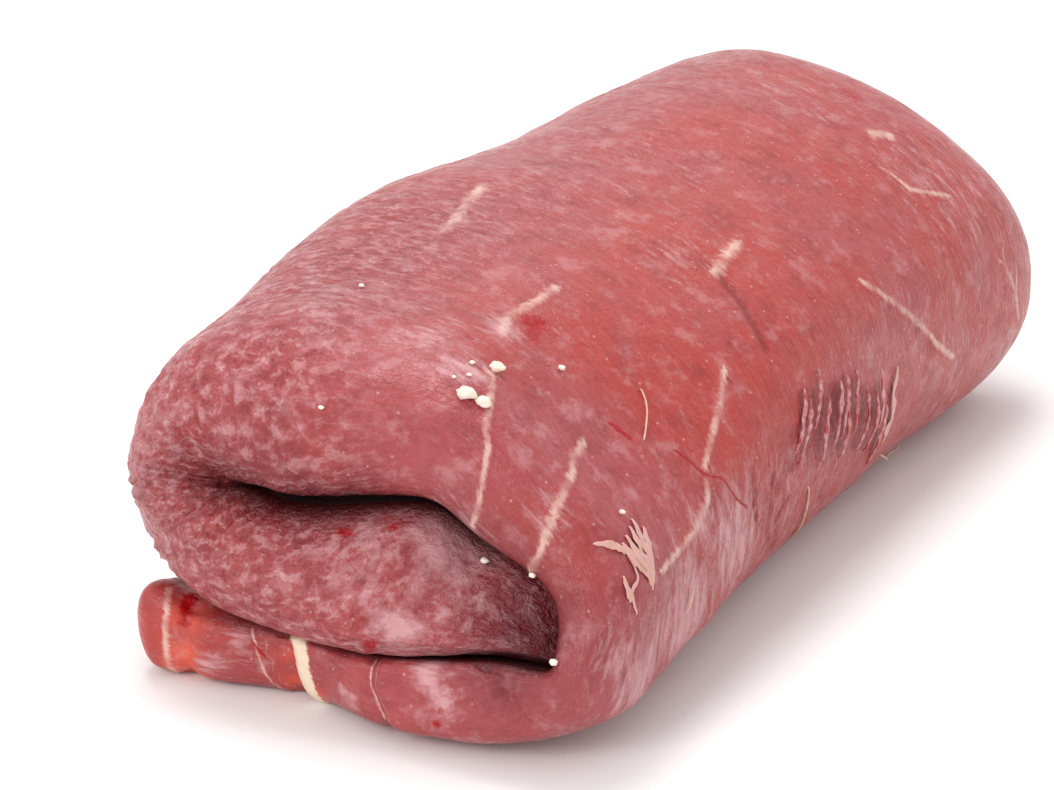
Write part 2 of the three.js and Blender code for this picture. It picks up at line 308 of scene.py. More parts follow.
def through(values, place):
    """The Catmull-Rom curve that passes through the values at places 0, 1, 2 and so on."""
    values = np.asarray(values, float)
    place = np.clip(place, 0.0, len(values) - 1.0 - 1e-9)
    first = place.astype(int)
    f = place - first
    a, b, c, d = (values[np.clip(first + k, 0, len(values) - 1)] for k in (-1, 0, 1, 2))
    square = (2 * a - 5 * b + 4 * c - d) * f ** 2
    cube = (3 * b - 3 * c + d - a) * f ** 3
    return b + 0.5 * ((c - a) * f + square + cube)


def along_sheet(name, station):
    """An edge's value at any station, from its values at the whole ones."""
    return through(EDGES[name], station - TIP)


def super_arc(angle, power):
    """The point of a unit super-ellipse in the direction of an angle."""
    c, s = np.cos(angle), np.sin(angle)
    size = (np.abs(c) ** power + np.abs(s) ** power) ** (-1.0 / power)
    return c * size, s * size


ARCH_X = (LEFT + RIGHT) / 2
ARCH_HALF = (RIGHT - LEFT) / 2
SLIT_Z = FLAP_THICKNESS + TONGUE_THICKNESS
CREASE_X = LEFT_FOLD_X + LEFT_CREASE
MIDDLE_Z = FLAP_THICKNESS + TONGUE_THICKNESS / 2


def arch_point(angle):
    """The roll's top line: the upper half of a super-ellipse, from the left at angle 0."""
    c, s = super_arc(angle, ARCH_POWER)
    return ARCH_X - ARCH_HALF * c, FOLD_HEIGHT + (TOP - FOLD_HEIGHT) * s


def arch_angle(x):
    """The angle at which the top line stands over x."""
    c = (ARCH_X - x) / ARCH_HALF
    return np.arctan2((1 - abs(c) ** ARCH_POWER) ** (1 / ARCH_POWER), c)


OVER_ANGLE = arch_angle(LEFT_FOLD_X)
RIGHT_ANGLE = arch_angle(RIGHT_FOLD_X)


def tip_line(t, side):
    """The tongue's rounded tip: a quarter turn below its middle at side -1, above it at 1."""
    height = (TONGUE_THICKNESS - SLIT) / 2 * np.cos((1 - t) * QUARTER)
    return RIGHT_FOLD_X + TONGUE_TIP * np.sin((1 - t) * QUARTER), MIDDLE_Z + side * height


def flap_line(t, side):
    """The flap's rounded last edge: a quarter turn below its middle at side -1, above it at 1."""
    half = (FLAP_THICKNESS - SLIT / 2) / 2
    return FLAP_END_X - FLAP_ROUND * np.sin(t * QUARTER), half * (1 + side * np.cos(t * QUARTER))


def outer_stretches(t):
    """The outer face's line in each stretch between two stations, at share t of the stretch."""
    left_x, left_z = super_arc(QUARTER - np.pi * np.minimum(t, 0.5), LEFT_FOLD_POWER)
    low_left = (LEFT_FOLD_X - (LEFT_FOLD_X - LEFT) * left_x,
                FOLD_HEIGHT - (FOLD_HEIGHT - FLAP_THICKNESS - SLIT / 2) * left_z)
    high_left = arch_point(np.clip(2 * t - 1, 0, 1) * OVER_ANGLE)
    right_x, right_z = super_arc((np.maximum(t, 0.5) - 0.5) * np.pi, RIGHT_FOLD_POWER)
    low_right = (RIGHT_FOLD_X + (RIGHT - RIGHT_FOLD_X) * right_x, FOLD_HEIGHT * (1 - right_z))
    high_right = arch_point(mix(RIGHT_ANGLE, np.pi, np.minimum(2 * t, 1)))
    return (
        tip_line(t, -1),
        (mix(RIGHT_FOLD_X, LEFT_FOLD_X, t), FLAP_THICKNESS + SLIT / 2 + 0 * t),
        tuple(np.where(t > 0.5, high, low) for high, low in zip(high_left, low_left)),
        arch_point(mix(OVER_ANGLE, RIGHT_ANGLE, t)),
        tuple(np.where(t < 0.5, high, low) for high, low in zip(high_right, low_right)),
        (mix(RIGHT_FOLD_X, FLAP_END_X, t), 0 * t),
        flap_line(t, -1),
    )


def inner_stretches(t):
    """The inner face's line in each stretch between two stations, at share t of the stretch."""
    turn = np.pi * t - QUARTER
    return (
        tip_line(t, 1),
        (mix(RIGHT_FOLD_X, CREASE_X, t), SLIT_Z - SLIT / 2 + 0 * t),
        (LEFT_FOLD_X + LEFT_CREASE * (1 - np.cos(turn)), SLIT_Z + SLIT / 2 * np.sin(turn)),
        (mix(CREASE_X, RIGHT_FOLD_X, t), SLIT_Z + SLIT / 2 + 0 * t),
        (RIGHT_FOLD_X + (TONGUE_TIP + SLIT) * np.cos(turn),
         MIDDLE_Z - (TONGUE_THICKNESS + SLIT) / 2 * np.sin(turn)),
        (mix(RIGHT_FOLD_X, FLAP_END_X, t), FLAP_THICKNESS - SLIT / 2 + 0 * t),
        flap_line(t, 1),
    )


def face_line(stretches, station):
    """X and Z of one face of the plain roll at each station."""
    stretch = np.clip(np.floor(station - TIP).astype(int), 0, LAST - TIP - 1)
    lines = stretches(station - TIP - stretch)
    return np.stack([np.choose(stretch, [line[k] for line in lines]) for k in (0, 1)], -1)


def settle(points):
    """Sink the upper layer towards the right, then add each Gaussian swell in turn."""
    x, y, z = np.moveaxis(points, -1, 0)
    depth = smooth_step(0, DROP_FULL_HEIGHT, z)
    at_front = smooth_step(FRONT_DROP["y_none"], FRONT_DROP["y_full"], y)
    front = smooth_step(FRONT_DROP["start"], FRONT_DROP["end"], x) * at_front
    whole = smooth_step(WHOLE_DROP["start"], WHOLE_DROP["end"], x)
    drop = (FRONT_DROP["depth"] * front + WHOLE_DROP["depth"] * whole) * depth
    points = np.stack([x, y, z - drop], -1)
    for at, by, reach in SWELLS.values():
        share = np.exp(-(((points - at) / reach) ** 2).sum(-1))[..., None]
        lift = np.ones_like(points)
        lift[..., 2] = smooth_step(0, FLAT_UNDERSIDE, points[..., 2])
        points = points + share * lift * by
    return points


def rolled(station, ring):
    """The smooth skin: the ring's share of the way from the inner to the outer face, at the
    ring's place along the roll, then settled. A rim is half a super-ellipse."""
    quarter = np.clip(np.floor(ring).astype(int), 0, 3)
    t = ring - quarter
    far = quarter == 2
    rim = (quarter == 0) | far
    angle = np.where(far, 0.5 - t, t - 0.5) * np.pi
    rim_side = np.sign(np.sin(angle)) * np.abs(np.sin(angle)) ** (2 / RIM_POWER)
    side = np.where(rim, rim_side, np.where(quarter == 1, 1.0, -1.0))
    pulled_in = 1 - np.abs(np.cos(angle)) ** (2 / RIM_POWER)
    near_round = np.where(side > 0, along_sheet("near_outer_round", station),
                          along_sheet("near_inner_round", station))
    near, far_edge = along_sheet("near", station), along_sheet("far", station)
    far_round = along_sheet("far_round", station)
    length_share = np.where(quarter == 1, t, 1 - t)
    y = mix(near + near_round, far_edge - far_round, length_share)
    y = np.where(quarter == 0, near + near_round * pulled_in, y)
    y = np.where(far, far_edge - far_round * pulled_in, y)
    edge = np.where(far, FAR_EDGE_HEIGHT, along_sheet("near_edge_height", station))
    height = np.where(side >= 0, mix(edge, 1, side), mix(edge, 0, -side))[..., None]
    inner = face_line(inner_stretches, station)
    outer = face_line(outer_stretches, station)
    across = mix(inner, outer, height)
    return settle(np.stack([across[..., 0], y, across[..., 1]], -1))


def skin_grid():
    """Every station and every ring place of the skin's grid, as two arrays of the same shape."""
    starts = [TIP + i + np.arange(n) / n for i, n in enumerate(STRETCH_STEPS)]
    stations = np.concatenate(starts + [np.array([LAST - END_THICKNESS])])
    stations[0] = TIP + END_THICKNESS
    ring = np.concatenate([
        np.arange(RIM_STEPS) / RIM_STEPS,
        1 + (np.arange(OUTER_STEPS) / OUTER_STEPS) ** OUTER_GRADING,
        2 + np.arange(FAR_RIM_STEPS) / FAR_RIM_STEPS,
        3 + np.arange(INNER_STEPS) / INNER_STEPS,
    ])
    return np.meshgrid(stations, ring, indexing="ij")


def unit(vectors):
    """Vectors brought to length 1; those of no length stay as they are."""
    return vectors / np.maximum(np.linalg.norm(vectors, axis=-1, keepdims=True), 1e-9)


def grid_normals(points):
    """Unit outward normals at a closed ring grid's points: the cross product of its slopes."""
    along = np.gradient(points, axis=0)
    around = np.roll(points, -1, axis=1) - np.roll(points, 1, axis=1)
    return unit(np.cross(along, around))


STATION, RING = skin_grid()
PLAIN_SKIN = rolled(STATION, RING)
LOWEST = PLAIN_SKIN.reshape(-1, 3).min(0)
HIGHEST = PLAIN_SKIN.reshape(-1, 3).max(0)
ORIGIN = np.array([(LOWEST[0] + HIGHEST[0]) / 2, (LOWEST[1] + HIGHEST[1]) / 2, 0.0])
PLAIN_SKIN -= ORIGIN
PLAIN_NORMALS = grid_normals(PLAIN_SKIN)


def skin(station, ring):
    """Points of the smooth skin in the part's own frame, in mm."""
    return rolled(np.asarray(station, float), np.asarray(ring, float)) - ORIGIN


def skin_normals(station, ring, step=0.004):
    """Unit outward normals of the smooth skin: the cross product of its two slopes."""
    station, ring = np.asarray(station, float), np.asarray(ring, float)
    along = skin(station + step, ring) - skin(station - step, ring)
    around = skin(station, ring + step) - skin(station, ring - step)
    return unit(np.cross(along, around))


def noise(points, seed):
    """Gradient noise between about -1 and 1: each corner of a lattice of unit cells has a
    random slope, and the eight slopes round a point are blended by quintic weights."""
    rng = np.random.default_rng(seed)
    shuffle = rng.permutation(256)
    slopes = unit(rng.normal(size=(256, 3)))
    cell = np.floor(points).astype(int)
    inside = points - cell
    weight = inside ** 3 * (inside * (inside * 6 - 15) + 10)
    total = np.zeros(points.shape[:-1])
    for corner in np.ndindex(2, 2, 2):
        x, y, z = np.moveaxis(cell + corner, -1, 0) % 256
        slope = slopes[shuffle[(shuffle[(shuffle[x] + y) % 256] + z) % 256]]
        share = np.where(corner, weight, 1 - weight).prod(-1)
        total += share * (slope * (inside - corner)).sum(-1)
    return 1.8 * total


def ridges(waves):
    """Noise folded at zero: 1 on thin crests, falling to 0 between them."""
    return 1 - np.abs(waves) * 2


def place_line(places, steps=24):
    """Points on the smooth skin along the straight lines between places."""
    stations, ring = np.asarray(places, float).T
    corner = np.arange(len(places))
    at = np.linspace(0, len(places) - 1, steps * (len(places) - 1) + 1)
    return skin(np.interp(at, corner, stations), np.interp(at, corner, ring))


def close_to(line, points, reach):
    """Which points lie in the box round a line that is reach wider on every side."""
    return ((points > line.min(0) - reach) & (points < line.max(0) + reach)).all(-1)


def distance_to(line, points, reach=8.0):
    """Distance in mm from each point to the nearest of a line's points, no more than reach."""
    found = np.full(points.shape[:-1], reach)
    near = close_to(line, points, reach)
    gaps = points[near][:, None] - line
    found[near] = np.minimum(np.sqrt((gaps ** 2).sum(-1)).min(1), reach)
    return found


LINE_REACH = 4.0  # mm from a line's edge at which it is no longer looked for
LINE_FADE = (2.0, 3.5)  # mm from its edge between which its share falls to 0
NO_LINE = 9.0  # half widths, where no line is near


def line_marks(lines):
    """For every skin point, how far across the nearest line it lies, in half widths and with a
    sign for the side, and the line's share there: 1 along the line, falling to 0 past its ends
    and beyond 2 mm from its edge."""
    across = np.full(STATION.shape, NO_LINE)
    share = np.zeros(STATION.shape)
    for half, places in lines.values():
        line = place_line(places)
        forward = unit(np.gradient(line, axis=0))
        near = close_to(line, PLAIN_SKIN, half + LINE_REACH)
        points = PLAIN_SKIN[near]
        nearest = np.linalg.norm(points[:, None] - line, axis=-1).argmin(1)
        gap = points - line[nearest]
        distance = np.linalg.norm(gap, axis=1)
        side = (np.cross(forward[nearest], PLAIN_NORMALS[near]) * gap).sum(1)
        past_end = np.abs((gap * forward[nearest]).sum(1)) - 0.5
        beside = smooth_step(half + LINE_FADE[0], half + LINE_FADE[1], distance)
        here = (1 - beside) * (1 - smooth_step(0, 1, past_end))
        closer = distance / half < np.abs(across[near])
        across[near] = np.where(closer, np.sign(side) * distance / half, across[near])
        share[near] = np.where(closer, here, share[near])
    return across, share


def bell(gap, width):
    """1 at distance 0, falling as a Gaussian with the width."""
    return np.exp(-(gap / width) ** 2)


def sheet_lengths():
    """How far along the sheet and how far round its ring each grid point is, in mm: mean
    lengths of the outer face, so lines of equal ring place stay parallel."""
    outer = (RING[0] >= 1) & (RING[0] < 2)
    steps_along = np.linalg.norm(np.diff(PLAIN_SKIN, axis=0), axis=-1)[:, outer].mean(1)
    inland = np.diff(PLAIN_SKIN, axis=1)[END_ROWS:-END_ROWS]
    steps_around = np.linalg.norm(inland, axis=-1).mean(0)
    along, around = (np.concatenate([[0], np.cumsum(steps)])
                     for steps in (steps_along, steps_around))
    return np.broadcast_arrays(along[:, None], around[None, :])


def open_share():
    """1 where the skin lies open, 0 inside the roll's slits and on the flat underside."""
    outer_open = window(0.85, 4.02, 0.25, STATION)
    outer_face = window(0.97, 2.03, 0.12, RING)
    clear_of_slit = window(0.16, 2.84, 0.14, RING)
    ends = window(TIP + 0.1, LAST - 0.1, 0.08, STATION)
    open_end = smooth_step(4.85, 5.0, STATION)
    return np.maximum(clear_of_slit, open_end) * (1 - outer_face * (1 - outer_open)) * ends


def crinkled_share():
    """How far the skin is crinkled: most on the left fold and on the tongue's cut face, some
    along the top's left side and low on the right side, little elsewhere."""
    fold = (1 - smooth_step(2.15, 2.7, STATION)) * (1 - 0.6 * smooth_step(1.1, 1.5, RING))
    low_right = window(3.5, 3.85, 0.12, STATION) * window(0.95, 1.5, 0.12, RING)
    flap = smooth_step(3.8, 4.1, STATION)
    return np.clip(0.12 + 0.88 * fold + 0.5 * low_right, 0, 1) * (1 - flap)


# The patch of pulled fibres slants: its middle station at a ring place, and how that grows.
PATCH_STATION = 3.435
PATCH_RING = 1.40
PATCH_SLANT = 0.78


def pulled_share():
    """How far the fibres are pulled apart: one slanting patch on the right side."""
    off_middle = STATION - (PATCH_STATION + PATCH_SLANT * (RING - PATCH_RING))
    return window(-0.05, 0.06, 0.05, off_middle) * window(1.42, 1.62, 0.035, RING)


def line_bells(lines):
    """A bell across each of several lines, the strongest at every skin point."""
    return np.max([bell(distance_to(place_line(places), PLAIN_SKIN), half)
                   for half, places in lines.values()], axis=0)


# The noise of the relief: its size in mm and its seed.
RELIEF_NOISE = {
    "broad lump": (26, 1), "small lump": (11, 2), "uneven": (14, 3), "crease": (7, 4),
    "large bump": (4.2, 5), "small bump": (2.5, 10), "wander": (8, 9),
}
WRINKLES_PER_STATION = 26
WRINKLES_PER_RING = 2.2
WRINKLE_SEED = 6
BLOOD_POOL = ((2.865, 1.115), 2.6)  # the hollow that the largest spots lie in: place, reach in mm


def relief_noise(name):
    """One of the relief's noises at every skin point."""
    size, seed = RELIEF_NOISE[name]
    return noise(PLAIN_SKIN / size, seed)


def left_wrinkles():
    """Wrinkles that run out of the left crease, over the fold's face: crests across the sheet
    that wander a little. Returns them and the face's share."""
    face = window(1.25, 2.15, 0.25, STATION) * window(0.0, 0.75, 0.25, RING)
    place = np.stack([STATION * WRINKLES_PER_STATION, RING * WRINKLES_PER_RING, 0 * RING], -1)
    place += 0.35 * relief_noise("wander")[..., None]
    return ridges(noise(place, WRINKLE_SEED)) * face, face


def relief(sizes, marks):
    """Height of the skin's relief in mm.

    Broad lumps everywhere. Where the skin is crinkled, 7 mm creases and rounded bumps of 4 and
    2.5 mm with sharp valleys between them. Wrinkles at the left crease. A hollow under the
    pulled fibres and under the largest spots of blood, and fissures. Pinched membranes and a
    fuller band of fat on the flap, and low lines of fat."""
    lumps = 0.7 * relief_noise("broad lump") + 0.3 * relief_noise("small lump")
    uneven = np.clip(0.6 + 0.9 * relief_noise("uneven"), 0.1, 1.3)
    creases = smooth_step(0.4, 1.0, ridges(relief_noise("crease")))
    bumps = (0.6 * ridges(relief_noise("large bump"))
             + 0.4 * ridges(relief_noise("small bump")))
    crinkles = 0.1 - 0.6 * creases - 0.28 * bumps
    wrinkles, fold_face = left_wrinkles()
    pinch = line_bells(FLAP_PINCHES) * smooth_step(3.6, 3.75, STATION)
    fat_line = marks["fat_share"] * (1 - smooth_step(0.6, 1.6, np.abs(marks["fat_across"])))
    (station, ring), reach = BLOOD_POOL
    pool = bell(distance_to(skin([station], [ring]), PLAIN_SKIN), reach)
    height = (
        sizes.lump_height * (lumps - 0.3)
        + sizes.crinkle_height * crinkles * marks["crinkled"] * uneven
        + sizes.wrinkle_height * (wrinkles - 0.6 * fold_face)
        + sizes.streak_height * fat_line
        - sizes.groove_depth * (0.6 * marks["pulled"] + 0.55 * marks["fissure"] + 0.4 * pool)
        + sizes.pinch_depth * (0.6 * marks["band"] - pinch)
    ) / MM
    return height * open_share()


def gap_to(place):
    """Distance in mm from every skin point to one place."""
    station, ring = place
    return np.linalg.norm(PLAIN_SKIN - skin([station], [ring]), axis=-1)


def patch_shares(patches):
    """How strongly the nearest of several patches is felt: each is a bell round a place with
    its own reach in mm and strength."""
    return np.max([strength * bell(gap_to(place), reach)
                   for place, reach, strength in patches], axis=0)


def warm_share():
    """How red and warm the lean is: most over the top, down the right side, and at the
    flap's end."""
    over = 0.85 * smooth_step(2.0, 2.8, STATION) * smooth_step(0.9, 1.25, RING)
    end = 0.9 * smooth_step(4.6, 4.85, STATION)
    return np.clip(over + end, 0, 1)


def painted_crease_shade_share():
    """How much painted shade a point gets, deep in the open mouth of a slit and over the hidden
    inner face: 1 at the slit itself, 0 on the flap's open end."""
    inner_side = 1 - smooth_step(0.02, 0.2, RING)
    tongue_side = smooth_step(0.93, 1.0, RING) * (1 - smooth_step(0.3, 0.8, STATION))
    hidden = smooth_step(2.9, 3.0, RING)
    open_end = smooth_step(4.72, 4.92, STATION)
    return np.clip(inner_side + tongue_side + hidden, 0, 1) * (1 - open_end)


def skin_marks():
    """Every number that the meat's material and relief read at each skin point, by name."""
    fat_across, fat_share = line_marks(FAT_LINES)
    blood_across, blood_share = line_marks(BLOOD_LINES)
    return {
        "warm": warm_share(),
        "veil": patch_shares(VEIL_PATCHES),
        "orange": patch_shares(ORANGE_PATCHES),
        "painted_shade": patch_shares(PAINTED_SHADE_PATCHES),
        "crinkled": crinkled_share(),
        "pulled": pulled_share(),
        "fissure": line_bells(FISSURES),
        "crease": painted_crease_shade_share(),
        "band": line_bells({"band": FLAP_BAND}),
        "fat_across": fat_across,
        "fat_share": fat_share,
        "blood_across": blood_across,
        "blood_share": blood_share,
        "blood_gap": np.min([gap_to(place) - radius
                             for radius, place in BLOOD_SPOTS.values()], axis=0),
    }


def ring_quads(rows, columns):
    """Corners of every quad of a grid whose columns close into a ring."""
    row, column = np.meshgrid(np.arange(rows - 1), np.arange(columns), indexing="ij")
    next_column = (column + 1) % columns
    corners = (row * columns + column, row * columns + next_column,
               (row + 1) * columns + next_column, (row + 1) * columns + column)
    return np.stack(corners, -1).reshape(-1, 4)


def make_piece(name, points, polygons, material):
    """A smooth mesh piece from points in mm; it rides on the body and has the meat's finish."""
    mesh = bpy.data.meshes.new(name)
    mesh.from_pydata(np.asarray(points, float).reshape(-1, 3) * MM, [], polygons)
    mesh.validate()
    mesh.polygons.foreach_set("use_smooth", np.ones(len(mesh.polygons), bool))
    mesh.materials.append(material)
    piece = bpy.data.objects.new(name, mesh)
    bpy.context.scene.collection.objects.link(piece)
    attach(piece, "root")
    return piece


def add_share(mesh, name, values):
    """Store one number per point of a mesh, for its material to read."""
    mesh.attributes.new(name, "FLOAT", "POINT").data.foreach_set("value", values.ravel())


def add_sheet_map(mesh, along, around):
    """Lay the sheet's own lengths in metres over the mesh, so the grain can follow them."""
    corner = np.empty(len(mesh.loops), int)
    mesh.loops.foreach_get("vertex_index", corner)
    both = np.stack([along.ravel(), around.ravel()], -1)[corner] * MM
    mesh.uv_layers.new(name="sheet").data.foreach_set("uv", both.ravel())


def add_node(tree, kind, inputs=(), out=None, **settings):
    """Add a shader node, set it, fill its inputs (in order, or by name) with numbers or with
    other nodes' outputs, and return the named output or the first one in use."""
    node = tree.nodes.new("ShaderNode" + kind)
    for name, value in settings.items():
        setattr(node, name, value)
    in_use = {socket.name: socket for socket in reversed(node.inputs) if socket.enabled}
    by_name = isinstance(inputs, dict)
    for name, value in inputs.items() if by_name else enumerate(inputs):
        socket = in_use[name] if by_name else node.inputs[name]
        if isinstance(value, bpy.types.NodeSocket):
            tree.links.new(value, socket)
        else:
            socket.default_value = value
    if out:
        return node.outputs[out]
    return next((socket for socket in node.outputs if socket.enabled), node)


def new_material(name):
    """A node material with nothing in it but the place on the object, in metres. Returns the
    material, a short way to add nodes to its tree, and the place."""
    material = bpy.data.materials.new(name)
    material.use_nodes = True
    material.node_tree.nodes.clear()
    add = partial(add_node, material.node_tree)
    return material, add, add("TexCoord", out="Object")


# The meat's noise patterns: the size in mm of what they draw, along and across the grain where
# there are two, and their detail, roughness and distortion.
MEAT_NOISE = {
    "cloud": ((25,), 1.0, 0.5, 0.0),  # where the lean is warmer
    "blotch": ((8,), 4.0, 0.68, 0.0),  # darker lean
    "grain": ((9, 0.7), 2.0, 0.5, 0.0),  # the lines between fibres
    "haze": ((6,), 5.0, 0.68, 0.0),  # thin milky membrane
    "shred": ((7, 2.5), 5.0, 0.74, 0.0),  # torn membrane
    "curd": ((3.6, 1.8), 4.0, 0.66, 0.2),  # small lumps of crinkled membrane
    "thread": ((4.5,), 2.0, 0.6, 0.0),  # a web of pale threads
    "fray": ((3, 1.2), 3.0, 0.75, 0.0),  # ragged edges of fat
    "patch": ((4,), 2.0, 0.5, 0.0),  # where lines of fat fade and the wet film is dry
    "soak": ((1.6,), 3.0, 0.7, 0.0),  # uneven edges of blood
    "pebble": ((1.2,), 3.0, 0.65, 0.0),  # the film's own fine relief
}
DOT_SPACING = 3.2  # mm

# How each thing comes in: the start and the end of what it is read from, and its amount at each.
# Where an amount is missing, the material works it out.
RAMPS = {
    "cloud": (0.35, 0.65, -0.4, 0.4),
    "blotch": (0.46, 0.72, 0.0, 0.42),
    "grain": (0.5, 0.75, 0.0),
    "most grain, by crinkles": (0.0, 1.0, 0.3, 0.06),
    "haze": (0.5, 0.68, 0.0),
    "most haze, by warmth": (0.0, 1.0, 0.34, 0.27),
    "veil": (0.60, 0.84, 0.0, 0.85),
    "curds": (0.49, 0.62, 0.0, 0.8),
    "curds, by haze": (0.0, 0.2, 0.65, 1.0),
    "pits_and_painted_shade": (0.47, 0.35, 0.0, 0.5),
    "threads": (0.018, 0.004, 0.0, 0.07),
    "dots": (0.12, 0.05, 0.0, 0.6),
    "film, by painted shade": (0.0, 1.0, 1.0, 0.3),
    "fray": (0.3, 0.7, -1.0, 1.0),
    "fat left in a line": (0.36, 0.6, 0.25, 0.85),
    "line of fat": (2.0, 0.2, 0.0, 1.0),
    "band of fat": (0.35, 0.6, 0.0, 0.95),
    "soak": (0.3, 0.7, -1.0, 1.0),
    "spot of blood": (0.7, -0.9, 0.0, 1.0),
    "hairline of blood": (1.6, 0.4, 0.0, 1.0),
    "roughness": (0.3, 0.7, 0.22, 0.46),
}
VEIL_GAIN = 0.36  # how much more membrane is left where the veil lies
THREAD_LEVEL = 0.53  # the threads follow this level of their noise
LINE_FRAY = 0.8  # how far a line of fat frays, in half widths
BAND_FRAY = 0.12
SPOT_SOAK = 1.2  # mm that a spot of blood spreads unevenly
HAIR_SOAK = 0.6
MOST_BLOOD = 0.97
# Painted shade: how much of the dark lean colour is laid between pulled fibres and in fissures, and
# of the crease colour in the slits' mouths.
GAP_SHADE = 0.42  # darkness between pulled fibres
FISSURE_SHADE = 0.75
PAINTED_CREASE_SHADE = 0.94

# The fine relief, in mm: pebbles, more of them where the skin is crinkled, and the rest.
PEBBLE_HEIGHT = 0.22
CRINKLED_PEBBLES = 0.55
CURD_HEIGHT = 1.3
GRAIN_HEIGHT = 0.16
VEIL_HEIGHT = 0.2


def meat_patterns(add, place):
    """The value of every pattern of the meat at a place, by name: noise, even on all sides or
    drawn out along the sheet, and the distance to scattered dots."""
    mm = add("VectorMath", {"Vector": place, "Scale": 1 / MM}, operation="SCALE")
    sheet = add("UVMap", uv_map="sheet")
    patterns = {"dot": add("TexVoronoi", {"Vector": mm, "Scale": 1 / DOT_SPACING})}
    for name, (sizes, detail, roughness, distortion) in MEAT_NOISE.items():
        where, scale = mm, 1 / sizes[0]
        if len(sizes) == 2:
            cells = (*(1 / (size * MM) for size in sizes), 1.0)
            where, scale = add("VectorMath", (sheet, cells), operation="MULTIPLY"), 1.0
        patterns[name] = add("TexNoise", {
            "Vector": where, "Scale": scale, "Detail": detail, "Roughness": roughness,
            "Distortion": distortion})
    return patterns


def lean_shares(add, pattern, share):
    """Lean meat: how warm it is, in clouds, and the shares of dark blotches and of dark lines
    between fibres."""
    cloud = add("MapRange", (pattern["cloud"], *RAMPS["cloud"]))
    warmth = add("Math", (share["warm"], cloud), operation="ADD", use_clamp=True)
    blotch = add("MapRange", (pattern["blotch"], *RAMPS["blotch"]),
                 interpolation_type="SMOOTHSTEP")
    most = add("MapRange", (share["crinkled"], *RAMPS["most grain, by crinkles"]))
    return warmth, blotch, add("MapRange", (pattern["grain"], *RAMPS["grain"], most))


def film_shares(add, pattern, share, warmth):
    """Membrane over the lean, the most of five layers: soft milky haze; torn shreds where the
    veil lies; curds where the skin is crinkled, fainter where there is no haze; thin pale
    threads; and dots of 0.6 mm. Less is shown where the deep purple shade is painted. Returns
    the shares of membrane, of the dark between curds (the lean there, and painted shade in the
    curd bump's hollows) and of the veil."""
    most = add("MapRange", (warmth, *RAMPS["most haze, by warmth"]))
    haze = add("MapRange", (pattern["haze"], *RAMPS["haze"], most),
               interpolation_type="SMOOTHSTEP")
    shred = add("Math", (share["veil"], VEIL_GAIN, pattern["shred"]),
                operation="MULTIPLY_ADD")
    veil = add("MapRange", (shred, *RAMPS["veil"]))
    curds = add("MapRange", (pattern["curd"], *RAMPS["curds"]))
    by_haze = add("MapRange", (haze, *RAMPS["curds, by haze"]))
    for part in (share["crinkled"], by_haze):
        curds = add("Math", (curds, part), operation="MULTIPLY")
    # The lean between curds, darker where the curd bump is low: partly painted shade in its
    # hollows.
    pits_and_painted_shade = add("MapRange", (pattern["curd"], *RAMPS["pits_and_painted_shade"]))
    pits_and_painted_shade = add("Math", (pits_and_painted_shade, share["crinkled"]), operation="MULTIPLY")
    off_thread = add("Math", (pattern["thread"], THREAD_LEVEL), operation="SUBTRACT")
    off_thread = add("Math", (off_thread,), operation="ABSOLUTE")
    threads = add("MapRange", (off_thread, *RAMPS["threads"]))
    dots = add("MapRange", (pattern["dot"], *RAMPS["dots"]))
    film = haze
    for layer in (veil, curds, threads, dots):
        film = add("Math", (film, layer), operation="MAXIMUM")
    by_painted_shade = add("MapRange", (share["painted_shade"], *RAMPS["film, by painted shade"]))
    return add("Math", (film, by_painted_shade), operation="MULTIPLY"), pits_and_painted_shade, veil


def fat_shares(add, pattern, share):
    """Fat over the skin: the share of its lines, with ragged translucent edges that fade here
    and there, and of the thick band."""
    fray = add("MapRange", (pattern["fray"], *RAMPS["fray"]))
    left = add("MapRange", (pattern["patch"], *RAMPS["fat left in a line"]))
    across = add("Math", (share["fat_across"],), operation="ABSOLUTE")
    across = add("Math", (fray, LINE_FRAY, across), operation="MULTIPLY_ADD")
    line = add("MapRange", (across, *RAMPS["line of fat"]), interpolation_type="SMOOTHSTEP")
    for part in (share["fat_share"], left):
        line = add("Math", (line, part), operation="MULTIPLY")
    band = add("Math", (fray, BAND_FRAY, share["band"]), operation="MULTIPLY_ADD")
    return line, add("MapRange", (band, *RAMPS["band of fat"]),
                     interpolation_type="SMOOTHSTEP")


def painted_gap_shade(add, share):
    """Painted shade in the gaps between pulled fibres and in the fissures."""
    gap = add("Math", (share["pulled"], GAP_SHADE), operation="MULTIPLY")
    return add("Math", (share["fissure"], FISSURE_SHADE, gap), operation="MULTIPLY_ADD",
               use_clamp=True)


def blood_share(add, pattern, share):
    """Spots and hairlines of blood with soaked uneven edges."""
    soak = add("MapRange", (pattern["soak"], *RAMPS["soak"]))
    gap = add("Math", (soak, SPOT_SOAK, share["blood_gap"]), operation="MULTIPLY_ADD")
    spot = add("MapRange", (gap, *RAMPS["spot of blood"]), interpolation_type="SMOOTHSTEP")
    across = add("Math", (share["blood_across"],), operation="ABSOLUTE")
    across = add("Math", (soak, HAIR_SOAK, across), operation="MULTIPLY_ADD")
    hair = add("MapRange", (across, *RAMPS["hairline of blood"]),
               interpolation_type="SMOOTHSTEP")
    hair = add("Math", (hair, share["blood_share"]), operation="MULTIPLY")
    blood = add("Math", (spot, hair), operation="MAXIMUM")
    return add("Math", (blood, MOST_BLOOD), operation="MULTIPLY")


